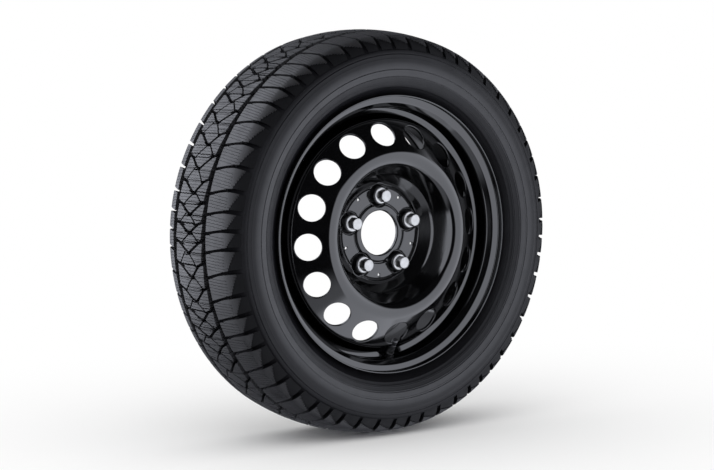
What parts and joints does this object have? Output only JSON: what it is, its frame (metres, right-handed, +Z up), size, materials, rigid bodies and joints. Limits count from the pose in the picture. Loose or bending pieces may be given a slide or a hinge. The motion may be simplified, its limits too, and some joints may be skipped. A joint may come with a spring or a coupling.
{
  "type": "road wheel with tyre",
  "caption": "Black pressed steel road wheel with round hand holes, a fitted winter tyre, hex-headed wheel bolts and a snap-in valve with its cap.",
  "frame": {"origin": "centre of the hub bore in the plane of the hub mounting face", "axes": "wheel axis along Y: +Y points inboard, to the hub, -Y outboard; +Z up, with the valve at the bottom"},
  "size_m": [0.6026, 0.1892, 0.6026],
  "materials": {
    "tyre": "matt",
    "black_paint": "gloss",
    "zinc_bolt": "satin",
    "valve_rubber": "matt",
    "brass": "satin",
    "core_seal": "matt",
    "spring_steel": "bright",
    "cap_plastic": "satin"
  },
  "bodies": {
    "wheel": {"tyre": "tyre", "rim": "black_paint", "disc": "black_paint", "disc_welds": "black_paint", "wheel_bolt_1": "zinc_bolt", "wheel_bolt_2": "zinc_bolt", "wheel_bolt_3": "zinc_bolt", "wheel_bolt_4": "zinc_bolt", "wheel_bolt_5": "zinc_bolt", "valve_body": "valve_rubber", "valve_stem": "brass", "core_plug": "brass", "core_barrel": "brass", "core_gasket": "core_seal", "core_spring": "spring_steel"},
    "core_pin_body": {"core_pin": "brass", "core_cup": "valve_rubber"},
    "cap_carrier": {"cap_seal": "valve_rubber"},
    "cap_body": {"valve_cap": "cap_plastic"}
  },
  "joints": [
    {"name": "core_press", "type": "slide", "parent": "wheel", "child": "core_pin_body", "axis": [0.0712, 0.6691, -0.7397], "range_m": [0, 0.001], "stiffness_N_per_m": 400, "springref_m": -0.003, "deforming": ["core_spring"]},
    {"name": "cap_lift", "type": "slide", "parent": "wheel", "child": "cap_carrier", "axis": [-0.0712, -0.6691, 0.7397], "range_m": [0, 0.00714]},
    {"name": "cap_unscrew", "type": "hinge", "parent": "cap_carrier", "child": "cap_body", "pos_m": [0.01601, -0.01341, -0.16627], "axis": [-0.0712, -0.6691, 0.7397], "range_deg": [0, 3240]}
  ],
  "couplings": [
    {"joint": "cap_unscrew", "follows": "cap_lift", "rad_per_m": 7915.3}
  ]
}
